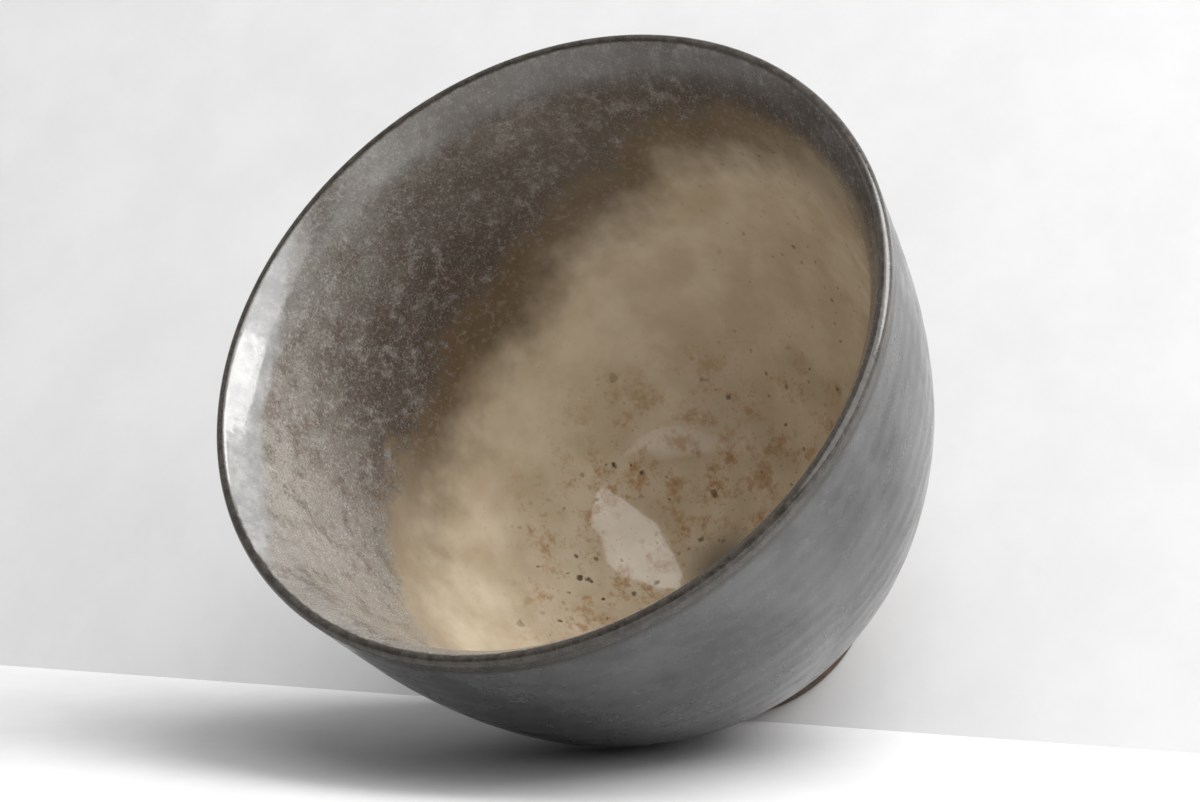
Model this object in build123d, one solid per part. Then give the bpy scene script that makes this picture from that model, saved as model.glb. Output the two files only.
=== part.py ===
from build123d import *
import os
from math import cos, radians, sin

# A deep footed tea bowl of turned stoneware, standing upright on its foot ring.
# Units are millimetres. The origin is the centre of the foot's underside and +Z runs up the bowl's axis.
# The bowl is a thrown clay body with a foot ring luted under it, and four fired glaze skins that meet
# it face to face: one outside, a pale and a grey one inside, and an iron-brown one over the lip.

# The rim. Its lip is a half round. Slopes are measured from the vertical.
rim_radius = 42.0
height = 67.3
lip_radius = 0.8
outer_lip_slope = 6.8
inner_lip_slope = 34.0

# The wall as stretches going down from the lip. A stretch is (length, 0) where it is straight, and
# (radius, turn) where it is a curve. Radius and turn are negative where it curves away from the axis.
outer_stretches = [(12.6, 0), (101.0, 8.2), (61.7, 40.0)]
inner_stretches = [(2.0, 0), (-12.0, -24.7), (7.0, 0), (120.0, 6.0), (54.0, 30.7)]

# The foot ring. Its seat climbs the belly from the flat underside up to this much of the belly's turn.
foot_radius = 16.2
foot_bore_radius = 12.6
foot_chamfer = 0.5
foot_seat_turn = 35.5

# The glaze skins. The outer one stops just above the foot ring, at this much of the belly's turn.
glaze = 0.4
lip_band_outside = 1.0
lip_band_inside = 1.2
glaze_stop_turn = 34.7

# The grey glaze was rolled round the rim and poured into the tilted bowl, so it ends on a slanted plane,
# and on the high side on a level one. The slanted plane crosses the axis at this height, and it drops by
# this angle towards the side facing this azimuth.
pour_line_height = 53.1
pour_line_tilt = 24.4
pour_line_azimuth = -124.3
rim_line_height = 63.0

lip_centre = (rim_radius - lip_radius, height - lip_radius)


def step(point, slope, length):
    """The point reached by going down the wall in a straight line."""
    return (point[0] - length * sin(radians(slope)), point[1] - length * cos(radians(slope)))


def bend(point, slope, radius, turn):
    """The point reached by following a curve down the wall."""
    start = radians(slope)
    end = radians(slope + turn)
    return (point[0] - radius * (cos(start) - cos(end)), point[1] - radius * (sin(end) - sin(start)))


def walk(point, slope, stretches, growth):
    """Edges down the wall, and where they end. growth is added to each radius to stay parallel."""
    edges = []
    for size, turn in stretches:
        if turn == 0:
            end = step(point, slope, size)
            edges.append(Line(point, end))
        else:
            radius = size + growth
            end = bend(point, slope, radius, turn)
            edges.append(ThreePointArc(point, bend(point, slope, radius, turn / 2), end))
        point = end
        slope += turn
    return edges, point, slope


def lip_edge(radius, slope, side):
    """Where the lip's half round meets the wall. side is 1 outside and -1 inside."""
    tilt = radians(slope)
    return (lip_centre[0] + side * radius * cos(tilt), lip_centre[1] - side * radius * sin(tilt))


def lip_nose(radius):
    """The half round over the lip, from the outer wall to the inner wall."""
    middle = radians((180 - outer_lip_slope - inner_lip_slope) / 2)
    top = (lip_centre[0] + radius * cos(middle), lip_centre[1] + radius * sin(middle))
    return ThreePointArc(lip_edge(radius, outer_lip_slope, 1), top, lip_edge(radius, inner_lip_slope, -1))


def outer_wall(depth, lead, last_turn):
    """The outer wall at a depth below its glaze, from a lead below the lip to part of the belly's turn."""
    start = step(lip_edge(lip_radius - depth, outer_lip_slope, 1), outer_lip_slope, lead)
    first, shoulder, belly = outer_stretches
    stretches = [(first[0] - lead, 0), shoulder, (belly[0], last_turn)]
    edges, end, slope = walk(start, outer_lip_slope, stretches, -depth)
    return edges, start, end


def inner_wall(depth, lead):
    """The inner wall at a depth below its glaze, from a lead below the lip to the axis."""
    start = step(lip_edge(lip_radius - depth, inner_lip_slope, -1), inner_lip_slope, lead)
    first = inner_stretches[0]
    stretches = [(first[0] - lead, 0)] + inner_stretches[1:]
    edges, edge_of_well, slope = walk(start, inner_lip_slope, stretches, depth)
    well_radius = edge_of_well[0] / cos(radians(slope))
    well, end, level = walk(edge_of_well, slope, [(well_radius, 90 - slope)], 0)
    return edges + well, start, end


def turned(edges):
    """The solid swept by a closed section turned once about the axis."""
    section = make_face(Curve() + edges)
    return revolve(Plane.XZ * section, Axis.Z, 360)


def skin(face, face_start, face_end, back, back_start, back_end):
    """A glaze skin between its face and its back. Its ends are closed unless they meet on the axis."""
    return turned(face + back + [Line(face_start, back_start), Line(face_end, back_end)])


def clay_body():
    """The thrown bowl under its glaze, with a flat floor underneath."""
    outer, outer_start, outer_end = outer_wall(glaze, 0, outer_stretches[-1][1])
    inner, inner_start, inner_end = inner_wall(glaze, 0)
    corner = (0, outer_end[1])
    floor = [Line(outer_end, corner), Line(corner, inner_end)]
    return turned(outer + inner + floor + [lip_nose(lip_radius - glaze)])


def foot_ring():
    """The bare clay ring luted on under the belly, with its seat hollowed to the body's curve."""
    belly_radius, belly_turn = outer_stretches[-1]
    slope = outer_lip_slope + outer_stretches[1][1] + foot_seat_turn
    seat_top = outer_wall(glaze, 0, foot_seat_turn)[2]
    seat, seat_bottom, end_slope = walk(seat_top, slope, [(belly_radius, belly_turn - foot_seat_turn)], -glaze)
    corners = [
        seat_bottom,
        (foot_bore_radius, seat_bottom[1]),
        (foot_bore_radius, foot_chamfer),
        (foot_bore_radius + foot_chamfer, 0),
        (foot_radius - foot_chamfer, 0),
        (foot_radius, foot_chamfer),
        seat_top,
    ]
    return turned(seat + [Line(a, b) for a, b in zip(corners, corners[1:])])


def outer_glaze():
    """The skin over the whole outside, from the lip band down to just above the foot ring."""
    face = outer_wall(0, lip_band_outside, glaze_stop_turn)
    back = outer_wall(glaze, lip_band_outside, glaze_stop_turn)
    return skin(*face, *back)


def inner_glaze():
    """The skin over the whole inside, before the pour line divides it."""
    return skin(*inner_wall(0, lip_band_inside), *inner_wall(glaze, lip_band_inside))


def lip_band():
    """The thin skin over the lip, where the glaze ran off and the iron shows."""
    edges = [lip_nose(lip_radius), lip_nose(lip_radius - glaze)]
    sides = [(outer_lip_slope, 1, lip_band_outside), (inner_lip_slope, -1, lip_band_inside)]
    for slope, side, lead in sides:
        face = lip_edge(lip_radius, slope, side)
        back = lip_edge(lip_radius - glaze, slope, side)
        face_end = step(face, slope, lead)
        back_end = step(back, slope, lead)
        edges += [Line(face, face_end), Line(face_end, back_end), Line(back_end, back)]
    return turned(edges)


def pour_plane():
    """The slanted plane that the grey glaze ends on, facing up."""
    tilt = radians(pour_line_tilt)
    azimuth = radians(pour_line_azimuth)
    normal = (sin(tilt) * cos(azimuth), sin(tilt) * sin(azimuth), cos(tilt))
    return Plane(origin=(0, 0, pour_line_height), z_dir=normal)


def inner_glazes():
    """The inner skin divided into the pale liner below both lines and the grey glaze above either."""
    rim_plane = Plane(origin=(0, 0, rim_line_height), z_dir=(0, 0, 1))
    whole = inner_glaze()
    poured = whole.split(pour_plane(), keep=Keep.TOP)
    rest = whole.split(pour_plane(), keep=Keep.BOTTOM)
    rolled = rest.split(rim_plane, keep=Keep.TOP)
    pale = rest.split(rim_plane, keep=Keep.BOTTOM)
    return pale, poured + rolled


pale_liner_glaze, grey_pour_glaze = inner_glazes()
nodes = {
    "clay_body": clay_body(),
    "foot_ring": foot_ring(),
    "outer_glaze": outer_glaze(),
    "pale_liner_glaze": pale_liner_glaze,
    "grey_pour_glaze": grey_pour_glaze,
    "iron_lip_band": lip_band(),
}

os.makedirs("parts", exist_ok=True)
for name, solid in nodes.items():
    solid.label = name
    export_step(solid, os.path.join("parts", name + ".step"))
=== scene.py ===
"""A deep footed tea bowl of glazed stoneware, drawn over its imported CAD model.

Lengths are metres in the CAD frame: the origin is the centre of the foot's underside, +Z runs up the axis.
"""
from bisect import bisect_right
from math import cos, pi, radians, sin, tau

import bmesh
import bpy
from mathutils import Matrix, Vector, noise


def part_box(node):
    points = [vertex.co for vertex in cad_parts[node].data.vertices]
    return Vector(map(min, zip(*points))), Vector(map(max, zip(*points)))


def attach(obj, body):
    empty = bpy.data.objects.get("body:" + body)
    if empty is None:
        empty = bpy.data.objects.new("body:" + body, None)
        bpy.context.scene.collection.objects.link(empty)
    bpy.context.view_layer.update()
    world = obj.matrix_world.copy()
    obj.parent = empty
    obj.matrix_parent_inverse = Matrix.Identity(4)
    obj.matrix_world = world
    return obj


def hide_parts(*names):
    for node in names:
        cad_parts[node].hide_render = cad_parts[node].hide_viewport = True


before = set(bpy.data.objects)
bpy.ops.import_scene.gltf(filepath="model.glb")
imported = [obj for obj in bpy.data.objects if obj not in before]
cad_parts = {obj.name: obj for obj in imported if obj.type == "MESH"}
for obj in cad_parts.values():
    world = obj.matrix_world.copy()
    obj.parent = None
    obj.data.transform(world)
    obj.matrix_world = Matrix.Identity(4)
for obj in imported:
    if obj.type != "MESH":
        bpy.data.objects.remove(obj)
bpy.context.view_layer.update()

mm = 0.001

# ---------------------------------------------------------------------------------------------------------
# The bowl's section, as in the CAD. Slopes are measured from the vertical. A stretch of wall is
# (length, 0) where it is straight and (radius, turn) where it curves, negative where it curves outwards.
# ---------------------------------------------------------------------------------------------------------

rim_radius = 42.0 * mm
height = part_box("iron_lip_band")[1][2]
lip_radius = 0.8 * mm
lip_centre = (rim_radius - lip_radius, height - lip_radius)
outer_slope = radians(6.8)
inner_slope = radians(34.0)

outer_straight = 12.6 * mm
shoulder = (101.0 * mm, radians(8.2))
belly_radius = 61.7 * mm
belly_turn = radians(40.0)
inner_stretches = [
    (2.0 * mm, 0),
    (-12.0 * mm, radians(-24.7)),
    (7.0 * mm, 0),
    (120.0 * mm, radians(6.0)),
    (54.0 * mm, radians(30.7)),
]

glaze = 0.4 * mm
lip_band_outside = 1.0 * mm
lip_band_inside = 1.2 * mm
glaze_stop_turn = radians(34.7)
foot_seat_turn = radians(35.5)
foot_radius = 16.2 * mm
foot_bore_radius = 12.6 * mm
foot_chamfer = 0.5 * mm

pour_line_height = 53.1 * mm
pour_tilt = radians(24.4)
pour_azimuth = radians(-124.3)
pour_across = sin(pour_tilt)
pour_normal = Vector((pour_across * cos(pour_azimuth), pour_across * sin(pour_azimuth), cos(pour_tilt)))
rim_line_height = 63.0 * mm


class Line:
    """A section line walked from its start, kept as points and normals with their lengths along it."""

    def __init__(self, point, slope, side, spacing=0.3 * mm):
        self.point = point
        self.slope = slope
        self.side = side
        self.spacing = spacing
        self.length = 0.0
        self.lengths = []
        self.points = []
        self.normals = []
        self.note()

    def note(self):
        """Keeps where the walk has come to."""
        self.lengths.append(self.length)
        self.points.append(self.point)
        self.normals.append((self.side * cos(self.slope), -self.side * sin(self.slope)))

    def straight(self, length):
        """Walks straight on."""
        steps = max(1, round(length / self.spacing))
        step = length / steps
        for _ in range(steps):
            r, z = self.point
            self.point = (r - step * sin(self.slope), z - step * cos(self.slope))
            self.length += step
            self.note()

    def bend(self, radius, turn):
        """Walks round an arc. Both are negative where the wall curves outwards."""
        steps = max(1, round(radius * turn / self.spacing))
        for _ in range(steps):
            r, z = self.point
            start = self.slope
            end = start + turn / steps
            self.point = (r - radius * (cos(start) - cos(end)), z - radius * (sin(end) - sin(start)))
            self.slope = end
            self.length += radius * turn / steps
            self.note()

    def at(self, length):
        """The point and normal this far along the line."""
        i = min(max(bisect_right(self.lengths, length) - 1, 0), len(self.lengths) - 2)
        share = (length - self.lengths[i]) / (self.lengths[i + 1] - self.lengths[i])
        share = min(max(share, 0.0), 1.0)
        point = between(self.points[i], self.points[i + 1], share)
        normal = between(self.normals[i], self.normals[i + 1], share)
        return point, normal


def between(a, b, share):
    """The pair a at 0, the pair b at 1, and a straight line between."""
    return (a[0] + (b[0] - a[0]) * share, a[1] + (b[1] - a[1]) * share)


def lip_edge(radius, slope, side, lead):
    """A point on the wall this far below the lip's half round. side is 1 outside and -1 inside."""
    return (
        lip_centre[0] + side * radius * cos(slope) - lead * sin(slope),
        lip_centre[1] - side * radius * sin(slope) - lead * cos(slope),
    )


def outer_line(depth, lead, turn):
    """The outer wall at a depth below its glazed face, from a lead below the lip."""
    line = Line(lip_edge(lip_radius - depth, outer_slope, 1, lead), outer_slope, 1)
    line.straight(outer_straight - lead)
    line.bend(shoulder[0] - depth, shoulder[1])
    line.bend(belly_radius - depth, turn)
    return line


def inner_line(depth, lead):
    """The inner wall at a depth below its glazed face, from a lead below the lip down to the axis."""
    line = Line(lip_edge(lip_radius - depth, inner_slope, -1, lead), inner_slope, -1)
    line.straight(inner_stretches[0][0] - lead)
    for size, turn in inner_stretches[1:]:
        if turn == 0:
            line.straight(size)
        else:
            line.bend(size + depth, turn)
    line.bend(line.point[0] / cos(line.slope), pi / 2 - line.slope)
    return line


# ---------------------------------------------------------------------------------------------------------
# Meshes turned about the axis, with the unevenness of a thrown and glazed bowl
# ---------------------------------------------------------------------------------------------------------

segments = 384
wall_steps = 170
grey_steps = 90
back_steps = 40
grey_back_steps = 12
nose_steps = 22
nose_back_steps = 9
clay_nose_steps = 7
clay_steps = 60
underside_steps = 70
roll_steps = 8
foot_side_steps = 16
foot_edge_steps = 6
foot_level_steps = 9
foot_bore_steps = 10
foot_seat_steps = 9
sharp_edge = radians(40)
joined_distance = 1e-6
out_of_round = 0.0016
ring_pitch = 3.4 * mm
ring_height = 0.03 * mm
ripple_size = 7.0 * mm
ripple_height = 0.05 * mm
groove_pitch = 1.5 * mm
groove_height = 0.05 * mm

# The outer glaze stops in a soft roll on a wavy line, and the grey glaze at a wandering pour line
roll_radius = 0.5 * mm
roll_rise = 0.12 * mm
stop_wander = 0.7 * mm
stop_waver = 0.35 * mm
pour_wander = 1.6 * mm
pour_waver = 0.9 * mm
grey_proud = 0.03 * mm
foot_waist = 0.35 * mm
foot_tool_mark = 0.04 * mm
foot_tool_pitch = 1.1 * mm


def smooth(value, low, high):
    """0 below low, 1 above high, and a smooth rise between."""
    t = min(max((value - low) / (high - low), 0.0), 1.0)
    return t * t * (3 - 2 * t)


def spread(start, end, count):
    """Evenly spaced values, both ends among them."""
    return [start + (end - start) * i / (count - 1) for i in range(count)]


def place(azimuth, r, z):
    """A section point carried round to an azimuth on the bowl, which is out of round above its foot."""
    lean = 0.6 * cos(2 * azimuth + 0.7) + 0.4 * cos(3 * azimuth - 1.9)
    r *= 1 + out_of_round * lean * smooth(z, 5 * mm, 45 * mm)
    return Vector((r * cos(azimuth), r * sin(azimuth), z))


def thrown_relief(azimuth, r, z):
    """Height of the faint throwing rings and of the ripple in the melted glaze."""
    spot = Vector((r * cos(azimuth), r * sin(azimuth), z))
    drift = 1.3 * noise.noise(spot * (1 / (25 * mm)))
    rings = cos(tau * z / ring_pitch + drift * pi + azimuth)
    ripple = noise.noise(spot * (1 / ripple_size)) + 0.5 * noise.noise(spot * (2.3 / ripple_size))
    return ring_height * rings * 0.5 + ripple_height * ripple * 0.5


def turned(name, section):
    """A closed mesh of one section per azimuth. section(azimuth) gives (r, z) points, always as many."""
    vertices = []
    faces = []
    for k in range(segments):
        azimuth = tau * k / segments
        vertices.extend(place(azimuth, r, z) for r, z in section(azimuth))
    count = len(vertices) // segments
    for k in range(segments):
        here = k * count
        there = (k + 1) % segments * count
        for i in range(count):
            j = (i + 1) % count
            faces.append((here + i, there + i, there + j, here + j))
    mesh = bpy.data.meshes.new(name)
    mesh.from_pydata(vertices, [], faces)
    piece = bpy.data.objects.new(name, mesh)
    bpy.context.scene.collection.objects.link(piece)
    tidy(mesh)
    return piece


def tidy(mesh):
    """Joins the points that meet on the axis, faces everything outwards and smooths all but the edges."""
    work = bmesh.new()
    work.from_mesh(mesh)
    bmesh.ops.remove_doubles(work, verts=work.verts, dist=joined_distance)
    bmesh.ops.recalc_face_normals(work, faces=work.faces)
    work.to_mesh(mesh)
    work.free()
    for polygon in mesh.polygons:
        polygon.use_smooth = True
    mesh.set_sharp_from_angle(angle=sharp_edge)


def raised(spot, rise):
    """A section point moved along its normal."""
    (r, z), (nr, nz) = spot
    return (r + nr * rise, z + nz * rise)


outer_face = outer_line(0, lip_band_outside, belly_turn)
outer_back = outer_line(glaze, lip_band_outside, belly_turn)
inner_face = inner_line(0, lip_band_inside)
inner_back = inner_line(glaze, lip_band_inside)
clay_outer = outer_line(glaze, 0, belly_turn)
clay_inner = inner_line(glaze, 0)


def back_points(face_line, back_line, start, end, count):
    """Points along the back of a glaze skin, opposite its face from start to end."""
    share = back_line.length / face_line.length
    return [back_line.at(length * share)[0] for length in spread(start, end, count)]


def relief(azimuth, spot, length):
    """The relief at a spot on a face. It dies out towards the lip band, so that the pieces meet."""
    return thrown_relief(azimuth, *spot[0]) * smooth(length, 0, 4 * mm)


def outer_glaze_section(azimuth):
    """Face down to the wavy line where the glaze stops in a soft roll, and back up behind it."""
    stop = outer_face.length - belly_radius * (belly_turn - glaze_stop_turn)
    around = Vector((cos(azimuth), sin(azimuth), 0))
    stop += stop_wander * (noise.noise(around * 2.5) - 0.4) + stop_waver * noise.noise(around * 9)
    points = []
    for length in spread(0, stop - roll_radius, wall_steps):
        spot = outer_face.at(length)
        roll = roll_rise * smooth(length, stop - 4 * mm, stop - 1 * mm)
        points.append(raised(spot, relief(azimuth, spot, length) + roll))
    for turn in spread(0, pi / 2, roll_steps)[1:-1]:
        spot = outer_face.at(stop - roll_radius * (1 - sin(turn)))
        points.append(raised(spot, roll_rise - (glaze + roll_rise) * (1 - cos(turn))))
    return points + back_points(outer_face, outer_back, stop, 0, back_steps)


def pour_height(azimuth, r):
    """Height where the grey glaze ends: the slanted pour line or the level one, with a wandering edge."""
    around = Vector((cos(azimuth), sin(azimuth), 0.3))
    wander = pour_wander * noise.noise(around * 3.1) + pour_waver * noise.noise(around * 8.3)
    rise = -(pour_normal.x * cos(azimuth) + pour_normal.y * sin(azimuth)) * r / pour_normal.z
    return min(pour_line_height + rise + wander, rim_line_height + 0.3 * wander)


def pour_length(azimuth):
    """How far down the inner wall the grey glaze reaches."""
    for length, (r, z) in zip(inner_face.lengths, inner_face.points):
        if z <= pour_height(azimuth, r):
            return length
    return inner_face.length


def grey_glaze_section(azimuth):
    """The grey glaze, a little proud of the liner, with a soft edge."""
    end = pour_length(azimuth)
    points = []
    for length in spread(0, end, grey_steps):
        spot = inner_face.at(length)
        proud = grey_proud * smooth(end - length, 0, 2 * mm) * smooth(length, 0, 3 * mm)
        points.append(raised(spot, relief(azimuth, spot, length) + proud))
    return points + back_points(inner_face, inner_back, end, 0, grey_back_steps)


def pale_glaze_section(azimuth):
    """The liner from the grey glaze's edge down to the middle of the well."""
    start = pour_length(azimuth)
    points = []
    for length in spread(start, inner_face.length, wall_steps):
        spot = inner_face.at(length)
        calm = smooth(spot[0][0], 0, 6 * mm)
        points.append(raised(spot, relief(azimuth, spot, length) * calm))
    return points + back_points(inner_face, inner_back, inner_face.length, start, back_steps)


def nose_points(radius, count):
    """The half round over the lip, from the inner wall over the top to the outer wall."""
    turns = spread(pi - inner_slope, -outer_slope, count)
    return [(lip_centre[0] + radius * cos(turn), lip_centre[1] + radius * sin(turn)) for turn in turns]


def lip_band_section(azimuth):
    """The thin skin over the lip: up the inside, over the top and down the outside, the same all round."""
    over = nose_points(lip_radius, nose_steps)
    under = nose_points(lip_radius - glaze, nose_back_steps)
    shown = [inner_face.points[0]] + over + [outer_face.points[0]]
    hidden = [inner_back.points[0]] + under + [outer_back.points[0]]
    return shown + hidden[::-1]


def foot_section(azimuth):
    """The bare foot ring: worn soft at its edges, and uneven where it was trimmed."""
    around = Vector((cos(azimuth), sin(azimuth), 0))
    seat_end = clay_outer.length
    seat_start = seat_end - (belly_radius - glaze) * (belly_turn - foot_seat_turn)
    top = clay_outer.at(seat_start)[0]
    bottom = clay_outer.at(seat_end)[0]
    edge_turns = spread(0, pi / 2, foot_edge_steps)
    points = []
    for share in spread(0, 1, foot_side_steps):
        r, z = between(top, (foot_radius, foot_chamfer), share)
        waist = foot_waist * sin(pi * share)
        mark = noise.noise(around * 6 + Vector((0, 0, z / foot_tool_pitch)))
        tool = foot_tool_mark * mark * sin(pi * share)
        points.append((r - waist + tool, z))
    for turn in edge_turns[1:]:
        r = foot_radius - foot_chamfer * (1 - cos(turn))
        points.append((r, foot_chamfer * (1 - sin(turn))))
    level = spread(foot_radius - foot_chamfer, foot_bore_radius + foot_chamfer, foot_level_steps)
    points += [(r, 0.0) for r in level[1:-1]]
    for turn in edge_turns:
        r = foot_bore_radius + foot_chamfer * (1 - sin(turn))
        points.append((r, foot_chamfer * (1 - cos(turn))))
    for z in spread(foot_chamfer, bottom[1], foot_bore_steps)[1:]:
        points.append((foot_bore_radius, z))
    for length in spread(seat_end, seat_start, foot_seat_steps)[:-1]:
        points.append(clay_outer.at(length)[0])
    return points


def clay_section(azimuth):
    """The clay under the glazes. Its underside inside the foot keeps the spiral left by the tool."""
    points = nose_points(lip_radius - glaze, clay_nose_steps)
    points += [clay_outer.at(length)[0] for length in spread(0, clay_outer.length, clay_steps)]
    edge, underside = clay_outer.points[-1]
    for r in spread(edge, 0, underside_steps)[1:]:
        groove = cos(tau * r / groove_pitch + azimuth) * smooth(foot_bore_radius - r, 0, 1 * mm)
        points.append((r, underside + groove_height * (1 + groove * smooth(r, 0, 2 * mm))))
    points += [clay_inner.at(length)[0] for length in spread(clay_inner.length, 0, clay_steps)]
    return points


# ---------------------------------------------------------------------------------------------------------
# Materials. Each is built from noise in object coordinates, which are the CAD frame's.
# ---------------------------------------------------------------------------------------------------------


# Colours, as linear reflectances: the grey glaze, the cream one, the outer one, then iron and clay
grey_deep = (0.066, 0.051, 0.042)
grey_high = (0.150, 0.139, 0.126)
grey_painted_light = (0.300, 0.280, 0.252)
grey_patch = (0.078, 0.053, 0.042)
grey_bloom = (0.27, 0.258, 0.240)
grey_green = (0.150, 0.154, 0.120)
grey_crystal = (0.38, 0.365, 0.345)
grey_pit = (0.034, 0.028, 0.025)
rim_dark = (0.095, 0.088, 0.078)
rim_light = (0.150, 0.142, 0.130)
painted_reflection_dark = (0.20, 0.198, 0.194)
painted_reflection_light = (0.29, 0.287, 0.282)

cream_dark = (0.500, 0.405, 0.282)
cream_light = (0.640, 0.545, 0.408)
amber_stain = (0.360, 0.190, 0.068)
iron_blot = (0.075, 0.042, 0.018)
iron_spot = (0.150, 0.080, 0.026)
iron_dust = (0.20, 0.115, 0.042)
well_pool = (0.105, 0.082, 0.050)
brown_halo_and_painted_shade = (0.084, 0.053, 0.029)
halo_frost = (0.26, 0.215, 0.165)

blue_grey_dark = (0.046, 0.046, 0.047)
blue_grey_light = (0.092, 0.093, 0.094)
blue_grey_puff = (0.130, 0.132, 0.131)
blue_grey_brown = (0.080, 0.069, 0.062)
blue_grey_crystal = (0.165, 0.165, 0.162)
blue_grey_pit = (0.032, 0.031, 0.030)
blue_grey_painted_shade = (0.026, 0.023, 0.020)
blue_grey_thin = (0.032, 0.026, 0.021)

iron_dark = (0.022, 0.018, 0.014)
iron_light = (0.046, 0.039, 0.032)
iron_fleck = (0.10, 0.088, 0.078)
clay_sand = (0.30, 0.22, 0.155)
clay_iron = (0.02, 0.014, 0.01)

# Sides that the inner glazes differ on, in the CAD frame. They are low, right and left in the main view.
# Painted light makes the grey paler on the low side, painted shade darkens the brown halo opposite it,
# and a painted reflection lies inside the rim on the left side.
low_side = (0.26, -0.966, 0)
right_side = (0.6, 0.8, 0)
reflection_azimuth = radians(-117)
reflection_side = (cos(reflection_azimuth), sin(reflection_azimuth), 0)

glaze_ior = 1.52
satin_ior = 1.42
clay_ior = 1.45

# Where a Mix node keeps the share, the two colours and the result
mix_share = 0
mix_first = 6
mix_second = 7
mix_result = 2


class Shader:
    """A small set of node helpers around one material."""

    def __init__(self, name):
        self.material = bpy.data.materials.new(name)
        self.material.use_nodes = True
        self.tree = self.material.node_tree
        self.surface = self.tree.nodes["Principled BSDF"]
        self.spot = self.tree.nodes.new("ShaderNodeTexCoord").outputs["Object"]

    def feed(self, socket, value):
        """Links another node's output to a socket, or sets a plain value on it."""
        if isinstance(value, bpy.types.NodeSocket):
            self.tree.links.new(value, socket)
        else:
            socket.default_value = value

    def node(self, kind, **inputs):
        """A new node with its inputs fed by name."""
        node = self.tree.nodes.new(kind)
        for key, value in inputs.items():
            self.feed(node.inputs[key], value)
        return node

    def math(self, operation, a, b=0.0):
        node = self.tree.nodes.new("ShaderNodeMath")
        node.operation = operation
        self.feed(node.inputs[0], a)
        self.feed(node.inputs[1], b)
        return node.outputs[0]

    def times(self, a, b):
        return self.math("MULTIPLY", a, b)

    def plus(self, a, b):
        return self.math("ADD", a, b)

    def vector(self, operation, a, b=(0, 0, 0)):
        node = self.tree.nodes.new("ShaderNodeVectorMath")
        node.operation = operation
        self.feed(node.inputs[0], a)
        self.feed(node.inputs[1], b)
        return node

    def along(self, direction):
        """How far a spot lies in a direction from the origin."""
        return self.vector("DOT_PRODUCT", self.spot, direction).outputs["Value"]

    def height(self):
        return self.along((0, 0, 1))

    def radius(self):
        """Distance from the bowl's axis."""
        flat = self.vector("MULTIPLY", self.spot, (1, 1, 0)).outputs[0]
        return self.vector("LENGTH", flat).outputs["Value"]

    def noise(self, size, detail=2.0, roughness=0.5, distortion=0.0, shift=0.0):
        """Noise from 0 to 1 with features about this size."""
        where = self.vector("ADD", self.spot, (shift, shift * 2, shift * 3)).outputs[0]
        node = self.node(
            "ShaderNodeTexNoise", Vector=where, Scale=1 / size,
            Detail=detail, Roughness=roughness, Distortion=distortion,
        )
        return node.outputs["Fac"]

    def step(self, value, low, high):
        """0 at low and 1 at high, smoothly. low may be the larger."""
        node = self.tree.nodes.new("ShaderNodeMapRange")
        node.interpolation_type = "SMOOTHSTEP"
        self.feed(node.inputs["Value"], value)
        node.inputs["From Min"].default_value = low
        node.inputs["From Max"].default_value = high
        return node.outputs["Result"]

    def scale(self, value, low, high):
        """0 to 1 carried to low to high."""
        node = self.tree.nodes.new("ShaderNodeMapRange")
        self.feed(node.inputs["Value"], value)
        node.inputs["To Min"].default_value = low
        node.inputs["To Max"].default_value = high
        return node.outputs["Result"]

    def mix(self, share, a, b):
        """Colour a at 0 and colour b at 1."""
        node = self.tree.nodes.new("ShaderNodeMix")
        node.data_type = "RGBA"
        self.feed(node.inputs[mix_share], share)
        for socket, colour in ((mix_first, a), (mix_second, b)):
            is_socket = isinstance(colour, bpy.types.NodeSocket)
            self.feed(node.inputs[socket], colour if is_socket else (*colour, 1))
        return node.outputs[mix_result]

    def specks(self, cell, least, most, share, softness=0.12):
        """Ragged specks, one to a cell. least and most are radii in cells, share is how many show."""
        jitter = self.node("ShaderNodeTexNoise", Vector=self.spot, Scale=1.6 / cell, Detail=2.0)
        offset = self.vector("MULTIPLY", jitter.outputs["Color"], (0.55 * cell,) * 3).outputs[0]
        where = self.vector("ADD", self.spot, offset).outputs[0]
        cells = self.node("ShaderNodeTexVoronoi", Vector=where, Scale=1 / cell)
        draws = self.node("ShaderNodeSeparateColor", Color=cells.outputs["Color"])
        reach = self.scale(draws.outputs[0], least, most)
        inside = self.math("SUBTRACT", reach, cells.outputs["Distance"])
        shown = self.math("LESS_THAN", draws.outputs[1], share)
        return self.times(self.step(inside, 0.0, softness), shown)

    def bump(self, level, rise, under=None):
        """A normal that follows a level this much raised, laid over another normal."""
        node = self.node("ShaderNodeBump", Height=level, Distance=rise, Strength=1.0)
        if under is not None:
            self.feed(node.inputs["Normal"], under)
        return node.outputs["Normal"]

    def finish(self, colour, roughness, normal=None, **constants):
        """Feeds the surface and gives back its material. constants are the same all over it."""
        self.feed(self.surface.inputs["Base Color"], colour)
        self.feed(self.surface.inputs["Roughness"], roughness)
        if normal is not None:
            self.feed(self.surface.inputs["Normal"], normal)
        for key, value in constants.items():
            self.surface.inputs[key.replace("_", " ")].default_value = value
        return self.material


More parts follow.
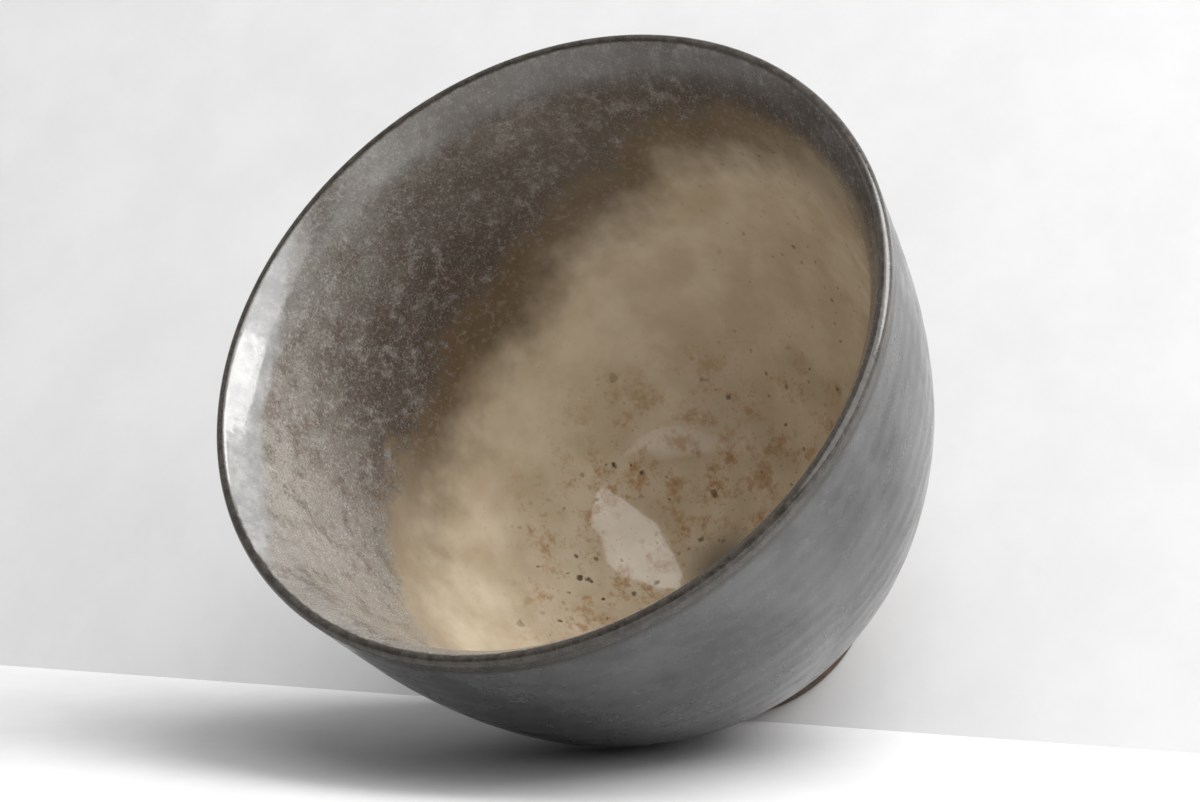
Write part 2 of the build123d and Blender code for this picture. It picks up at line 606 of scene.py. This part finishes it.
def grey_glaze_colour(s, above, grain, fleck, cloud):
    """Dark brownish grey low down and paler near the rim, full of fine pale crystals and dark pits, with
    painted light that makes it paler on the side low in the main view.
    """
    drift = s.times(s.math("SUBTRACT", cloud, 0.5), 26 * mm)
    lift = s.step(s.plus(above, drift), 3 * mm, 27 * mm)
    grey = s.mix(lift, grey_deep, grey_high)
    # Painted light: the grey is made paler on the side that is low in the main view, where the windows'
    # light falls.
    thin_and_painted_light = s.step(s.along(low_side), 16 * mm, 34 * mm)
    grey = s.mix(s.times(thin_and_painted_light, 0.70), grey, grey_painted_light)
    patch = s.noise(3.6 * mm, 5.0, 0.72, shift=0.057)
    grey = s.mix(s.times(s.step(patch, 0.48, 0.62), 0.62), grey, grey_patch)
    bloom = s.noise(2.4 * mm, 5.0, 0.72, shift=0.083)
    grey = s.mix(s.times(s.step(bloom, 0.50, 0.66), 0.50), grey, grey_bloom)
    green = s.step(s.noise(5 * mm, 3.0, 0.6, shift=0.17), 0.54, 0.70)
    grey = s.mix(s.times(green, 0.35), grey, grey_green)
    crystals = s.step(s.plus(s.times(grain, 0.6), s.times(fleck, 0.4)), 0.47, 0.62)
    grey = s.mix(s.times(crystals, 0.22), grey, grey_crystal)
    grey = s.mix(s.times(s.step(grain, 0.48, 0.36), 0.45), grey, grey_pit)
    return grey, crystals


def pale_glaze_colour(s, above, radius, fleck, cloud):
    """Cloudy cream, brown towards the pour line, with painted shade making that brown darker on the side
    high in the main view, and with iron specks and stains round the well.
    """
    pale = s.mix(s.step(cloud, 0.3, 0.7), cream_dark, cream_light)
    ring = s.times(s.step(radius, 29 * mm, 19 * mm), s.step(radius, 2 * mm, 6 * mm))
    stain = s.step(s.noise(4 * mm, 6.0, 0.78, shift=0.11), 0.48, 0.66)
    pale = s.mix(s.times(s.times(stain, ring), 0.80), pale, amber_stain)
    dusty = s.step(s.along(right_side), -6 * mm, 26 * mm)
    dusting = s.plus(s.scale(ring, 0.05, 0.75), s.times(dusty, 0.75))
    crowd = s.step(s.noise(9 * mm, 3.0, 0.6, shift=0.21), 0.40, 0.60)
    blots = s.times(s.specks(2.2 * mm, 0.04, 0.36, 0.60, 0.12), s.times(ring, crowd))
    pale = s.mix(s.times(blots, 0.9), pale, iron_blot)
    spots = s.times(s.specks(1.3 * mm, 0.02, 0.30, 0.55, 0.12), dusting)
    pale = s.mix(s.times(spots, s.scale(crowd, 0.35, 1.0)), pale, iron_spot)
    fine = s.times(s.specks(0.7 * mm, 0.02, 0.26, 0.45, 0.12), dusting)
    pale = s.mix(s.times(fine, 0.55), pale, iron_dust)
    pool = s.step(radius, 7 * mm, 2 * mm)
    pale = s.mix(s.times(pool, 0.80), pale, well_pool)
    halo = s.step(above, -14 * mm, -2 * mm)
    by_rim = s.step(s.height(), rim_line_height - 17 * mm, rim_line_height - 4 * mm)
    halo = s.math("MAXIMUM", halo, s.times(by_rim, 0.75))
    # The brown halo near the pour line and the rim is partly the glaze's own and partly painted shade: it
    # is made darker on the side that is high in the main view, which faces away from the light.
    painted_shade_side = s.step(s.along(low_side), 34 * mm, 10 * mm)
    pale = s.mix(s.times(halo, s.scale(painted_shade_side, 0.55, 0.94)), pale, brown_halo_and_painted_shade)
    frost = s.times(s.step(fleck, 0.50, 0.66), s.times(s.step(above, -11 * mm, 0), 0.5))
    return s.mix(frost, pale, halo_frost)


def painted_reflection_share(s, radius):
    """Share of a painted reflection: a pale band inside one side of the rim, on its smooth roll, with a
    ragged lower edge.
    """
    ragged = s.noise(3.2 * mm, 4.0, 0.62, shift=0.33)
    nearness = s.math("DIVIDE", s.along(reflection_side), radius)
    reach = s.times(s.step(nearness, 0.76, 1.0), 4.8 * mm)
    reach = s.plus(reach, s.times(s.math("SUBTRACT", ragged, 0.5), 5.0 * mm))
    depth = s.math("SUBTRACT", height, s.height())
    inside = s.math("SUBTRACT", reach, depth)
    return s.times(s.step(inside, -0.5 * mm, 0.9 * mm), s.step(nearness, 0.78, 0.88))


def inner_colours(s):
    """Colour, roughness and normal of the inside: grey above the pour line, pale with iron specks below."""
    radius = s.radius()
    grain = s.noise(0.30 * mm, 3.0, 0.75)
    fleck = s.noise(0.85 * mm, 3.0, 0.65, shift=0.013)
    cloud = s.noise(7 * mm, 3.0, 0.55, shift=0.031)
    edge = s.math("SUBTRACT", s.noise(10 * mm, 4.0, 0.62, shift=0.29), 0.5)
    above = s.math("SUBTRACT", s.along(tuple(pour_normal)), pour_line_height * pour_normal.z)
    above = s.plus(above, s.times(edge, 13 * mm))
    rim = s.math("SUBTRACT", s.height(), rim_line_height - 1.5 * mm)
    rim = s.plus(rim, s.times(edge, 6 * mm))

    grey, crystals = grey_glaze_colour(s, above, grain, fleck, cloud)
    pale = pale_glaze_colour(s, above, radius, fleck, cloud)
    veil = s.math("MAXIMUM", s.step(above, -5 * mm, 5 * mm), s.step(rim, -2.5 * mm, 2.5 * mm))
    ragged = s.plus(veil, s.times(s.math("SUBTRACT", fleck, 0.5), 1.5))
    ragged = s.plus(ragged, s.times(s.math("SUBTRACT", grain, 0.5), 0.5))
    is_grey = s.step(ragged, 0.18, 0.82)
    colour = s.mix(is_grey, pale, grey)

    rim_glaze = s.step(s.height(), height - 7 * mm, height - 3.5 * mm)
    calm = s.mix(s.step(cloud, 0.35, 0.65), rim_dark, rim_light)
    colour = s.mix(s.times(rim_glaze, 0.35), colour, calm)
    # Painted reflection: the pale streaky band inside one side of the rim stands in for a bright reflection
    # there.
    roll = painted_reflection_share(s, radius)
    streak = s.step(s.noise(2.6 * mm, 4.0, 0.7, shift=0.47), 0.35, 0.70)
    painted_reflection = s.mix(streak, painted_reflection_dark, painted_reflection_light)
    colour = s.mix(roll, colour, painted_reflection)

    rough = s.scale(s.times(crystals, is_grey), 0.08, 0.32)
    smooth_rim = s.math("SUBTRACT", 1.0, s.math("MAXIMUM", roll, s.times(rim_glaze, 0.7)))
    orange_peel = s.bump(s.noise(1.6 * mm, 2.0, 0.5, shift=0.2), 0.018 * mm)
    normal = s.bump(s.times(s.times(grain, is_grey), smooth_rim), 0.035 * mm, orange_peel)
    return colour, rough, normal


def inner_glaze_material(name):
    """The glossy glaze of the inside, for the grey skin and the pale one alike."""
    s = Shader(name)
    colour, rough, normal = inner_colours(s)
    return s.finish(colour, rough, normal, IOR=glaze_ior)


def outer_glaze_material(name):
    """Satin blue-grey glaze with soft clouds, thinner and browner where it ran to an edge, and darker
    towards the foot as painted shade.
    """
    s = Shader(name)
    cloud = s.noise(11 * mm, 4.0, 0.58, distortion=0.5)
    puff = s.noise(3.6 * mm, 4.0, 0.6, shift=0.07)
    grain = s.noise(0.4 * mm, 3.0, 0.65, shift=0.02)
    body = s.mix(s.step(cloud, 0.32, 0.70), blue_grey_dark, blue_grey_light)
    body = s.mix(s.times(s.step(puff, 0.48, 0.74), 0.32), body, blue_grey_puff)
    tint = s.step(s.noise(13 * mm, 3.0, 0.6, shift=0.4), 0.50, 0.68)
    body = s.mix(s.times(tint, 0.30), body, blue_grey_brown)
    body = s.mix(s.times(s.step(grain, 0.54, 0.72), 0.22), body, blue_grey_crystal)
    body = s.mix(s.times(s.step(grain, 0.46, 0.32), 0.30), body, blue_grey_pit)
    # Painted shade: the glaze is made darker towards the foot, where the bowl's underside lies in shade.
    low = s.step(s.height(), 34 * mm, 9 * mm)
    body = s.mix(s.times(low, 0.55), body, blue_grey_painted_shade)
    thin_and_painted_light = s.step(s.height(), height - 3.4 * mm, height - 1.8 * mm)
    body = s.mix(thin_and_painted_light, body, blue_grey_thin)
    roughness = s.scale(s.step(puff, 0.35, 0.7), 0.17, 0.30)
    orange_peel = s.bump(s.noise(2.2 * mm, 2.0, 0.5, shift=0.3), 0.012 * mm)
    normal = s.bump(grain, 0.004 * mm, orange_peel)
    return s.finish(body, roughness, normal, IOR=satin_ior)


def lip_material(name):
    """Iron brown over the crest, where the glaze ran thin, and the inner glaze's colours inside it."""
    s = Shader(name)
    inside, rough, normal = inner_colours(s)
    worn = s.noise(1.4 * mm, 3.0, 0.6, shift=0.61)
    iron = s.mix(s.step(worn, 0.35, 0.65), iron_dark, iron_light)
    fleck = s.step(s.noise(0.5 * mm, 3.0, 0.6, shift=0.05), 0.56, 0.72)
    iron = s.mix(s.times(fleck, 0.35), iron, iron_fleck)
    ragged = s.plus(s.radius(), s.times(s.math("SUBTRACT", worn, 0.5), 0.5 * mm))
    is_iron = s.step(ragged, rim_radius - 1.45 * mm, rim_radius - 1.1 * mm)
    return s.finish(s.mix(is_iron, inside, iron), rough, normal, IOR=glaze_ior)


def bare_clay_material(name, dark, pale):
    """Matt trimmed stoneware with sand in it."""
    s = Shader(name)
    tone = s.noise(4 * mm, 4.0, 0.6)
    colour = s.mix(s.step(tone, 0.35, 0.68), dark, pale)
    sand = s.specks(0.7 * mm, 0.08, 0.30, 0.5, 0.08)
    colour = s.mix(s.times(sand, 0.5), colour, clay_sand)
    iron = s.specks(1.3 * mm, 0.04, 0.16, 0.35, 0.05)
    colour = s.mix(iron, colour, clay_iron)
    grain = s.noise(0.3 * mm, 4.0, 0.7, shift=0.03)
    coarse = s.bump(sand, 0.05 * mm)
    normal = s.bump(grain, 0.06 * mm, coarse)
    return s.finish(colour, s.scale(tone, 0.72, 0.92), normal, IOR=clay_ior)


# ---------------------------------------------------------------------------------------------------------
# The pieces
# ---------------------------------------------------------------------------------------------------------

bowl_clay_dark = (0.060, 0.038, 0.028)
bowl_clay_light = (0.110, 0.075, 0.056)
foot_clay_dark = (0.070, 0.045, 0.033)
foot_clay_light = (0.140, 0.098, 0.073)

clay_of_bowl = bare_clay_material("clay_of_the_bowl", bowl_clay_dark, bowl_clay_light)
clay_of_foot = bare_clay_material("clay_of_the_foot", foot_clay_dark, foot_clay_light)
blue_grey = outer_glaze_material("blue_grey_glaze")
inside_glaze = inner_glaze_material("inside_glaze")
iron_lip = lip_material("iron_lip_glaze")

pieces = [
    ("clay_bowl", "clay_body", clay_section, clay_of_bowl),
    ("foot_of_bare_clay", "foot_ring", foot_section, clay_of_foot),
    ("outer_glaze_skin", "outer_glaze", outer_glaze_section, blue_grey),
    ("pale_liner_skin", "pale_liner_glaze", pale_glaze_section, inside_glaze),
    ("grey_pour_skin", "grey_pour_glaze", grey_glaze_section, inside_glaze),
    ("lip_skin", "iron_lip_band", lip_band_section, iron_lip),
]

for name, node, section, material in pieces:
    piece = turned(name, section)
    piece.data.materials.append(material)
    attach(piece, "root")
    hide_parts(node)

# ---------------------------------------------------------------------------------------------------------
# Camera: it looks down into the mouth from the side, rolled, so that the bowl lies tipped over in the view.
# ---------------------------------------------------------------------------------------------------------

view_azimuth = radians(94.4)
view_elevation = radians(50.2)
view_roll = radians(37.95)
view_distance = 379.2 * mm
aim = Vector((7.85 * mm, 1.22 * mm, 60.7 * mm))
lens_mm = 100.0
sensor_mm = 36.0
nearest_seen = 10.0 * mm
farthest_seen = 50.0

level_back = Vector((sin(view_azimuth), -cos(view_azimuth), 0))
back = level_back * cos(view_elevation) + Vector((0, 0, sin(view_elevation)))
level_right = Vector((cos(view_azimuth), sin(view_azimuth), 0))
level_up = back.cross(level_right)
right = level_right * cos(view_roll) - level_up * sin(view_roll)
up = back.cross(right)


def in_view(toward_right, toward_up, toward_back):
    """A direction given in the camera's own terms."""
    return (right * toward_right + up * toward_up + back * toward_back).normalized()


camera = bpy.data.objects.new("camera", bpy.data.cameras.new("camera"))
camera.data.lens = lens_mm
camera.data.sensor_width = sensor_mm
camera.data.clip_start = nearest_seen
camera.data.clip_end = farthest_seen
camera_turn = Matrix((right, up, back)).transposed().to_4x4()
camera.matrix_world = Matrix.Translation(aim + back * view_distance) @ camera_turn
bpy.context.scene.collection.objects.link(camera)
bpy.context.scene.camera = camera

# ---------------------------------------------------------------------------------------------------------
# Stage. The bowl stands upright on a table at Z = 0. A second pale floor, seen only from its upper side,
# leans against the foot, level in the camera's rolled view, so that there the bowl lies on its side.
# ---------------------------------------------------------------------------------------------------------

table_size = 3.0
floor_size = 1.2
floor_pitch = radians(2.7)
floor_gap = 0.15 * mm
table_colour = (0.58, 0.58, 0.58)
floor_colour = (0.58, 0.58, 0.58)
paint_cloud = 22.0 * mm
paint_shade = 0.95
paint_roughness = 0.8


def plain_paint(name, colour, one_sided):
    """Matt paint with faint clouds. One-sided paint is clear when seen from below its surface."""
    s = Shader(name)
    tone = s.noise(paint_cloud, 6.0, 0.65)
    shade = tuple(paint_shade * share for share in colour)
    material = s.finish(s.mix(s.step(tone, 0.35, 0.65), shade, colour), paint_roughness)
    if one_sided:
        side = s.tree.nodes.new("ShaderNodeNewGeometry").outputs["Backfacing"]
        see_through = s.tree.nodes.new("ShaderNodeBsdfTransparent")
        choose = s.tree.nodes.new("ShaderNodeMixShader")
        s.feed(choose.inputs[0], side)
        s.feed(choose.inputs[1], s.surface.outputs[0])
        s.feed(choose.inputs[2], see_through.outputs[0])
        s.feed(s.tree.nodes["Material Output"].inputs["Surface"], choose.outputs[0])
    return material


def stage_plane(name, centre, normal, half_size, material):
    """A square of the stage, which isn't part of the bowl."""
    turn = normal.to_track_quat("Z", "Y").to_matrix()
    corners = []
    for x, y in ((-1, -1), (1, -1), (1, 1), (-1, 1)):
        corners.append(centre + turn @ Vector((x * half_size, y * half_size, 0)))
    mesh = bpy.data.meshes.new(name)
    mesh.from_pydata(corners, [], [(0, 1, 2, 3)])
    mesh.materials.append(material)
    plane = bpy.data.objects.new(name, mesh)
    bpy.context.scene.collection.objects.link(plane)


table_paint = plain_paint("table_paint", table_colour, False)
stage_plane("table", Vector((0, 0, 0)), Vector((0, 0, 1)), table_size, table_paint)

floor_normal = in_view(0, cos(floor_pitch), sin(floor_pitch))
downhill = -Vector((floor_normal.x, floor_normal.y, 0)).normalized()
floor_spot = downhill * foot_radius - floor_normal * floor_gap
floor_paint = plain_paint("floor_paint", floor_colour, True)
stage_plane("leaning_floor", floor_spot, floor_normal, floor_size, floor_paint)

# ---------------------------------------------------------------------------------------------------------
# Light: two large soft windows to the view's upper right, and a surround that is dark on the photo's side
# ---------------------------------------------------------------------------------------------------------

window_distance = 0.9
window_toward = in_view(0.35, 0.70, 0.58)
window_long_side = in_view(-0.79, 0.60, -0.32)
window_size = (1.05, 1.70)
window_watts = 13.5
side_toward = in_view(0.52, 0.80, 0.26)
side_long_side = in_view(0.80, -0.55, 0.0)
side_size = (0.50, 1.00)
side_watts = 10.0
surround_in_front = 0.02
surround_behind = 0.52
dark_until = 0.75
bright_from = -0.05


def soft_light(name, direction, long_side, size, watts):
    """An oval light that faces the bowl, with its long side along a direction."""
    across = long_side.cross(direction).normalized()
    turn = Matrix((across, direction.cross(across), direction)).transposed().to_4x4()
    light = bpy.data.lights.new(name, "AREA")
    light.shape = "ELLIPSE"
    light.size, light.size_y = size
    light.energy = watts
    lamp = bpy.data.objects.new(name, light)
    lamp.matrix_world = Matrix.Translation(aim + direction * window_distance) @ turn
    bpy.context.scene.collection.objects.link(lamp)


def surround(dark, bright):
    """A world that is dark on the photo's side of the bowl and bright at its sides and behind it."""
    world = bpy.data.worlds.new("surround")
    world.use_nodes = True
    tree = world.node_tree
    direction = tree.nodes.new("ShaderNodeTexCoord").outputs["Generated"]
    front = tree.nodes.new("ShaderNodeVectorMath")
    front.operation = "DOT_PRODUCT"
    front.inputs[1].default_value = back
    fall = tree.nodes.new("ShaderNodeMapRange")
    fall.interpolation_type = "SMOOTHSTEP"
    fall.inputs["From Min"].default_value = dark_until
    fall.inputs["From Max"].default_value = bright_from
    fall.inputs["To Min"].default_value = dark
    fall.inputs["To Max"].default_value = bright
    tree.links.new(direction, front.inputs[0])
    tree.links.new(front.outputs["Value"], fall.inputs["Value"])
    tree.links.new(fall.outputs["Result"], tree.nodes["Background"].inputs["Strength"])
    tree.nodes["Background"].inputs["Color"].default_value = (1, 1, 1, 1)
    bpy.context.scene.world = world


soft_light("window", window_toward, window_long_side, window_size, window_watts)
soft_light("side_window", side_toward, side_long_side, side_size, side_watts)
surround(surround_in_front, surround_behind)
bpy.context.scene.view_settings.view_transform = "Standard"
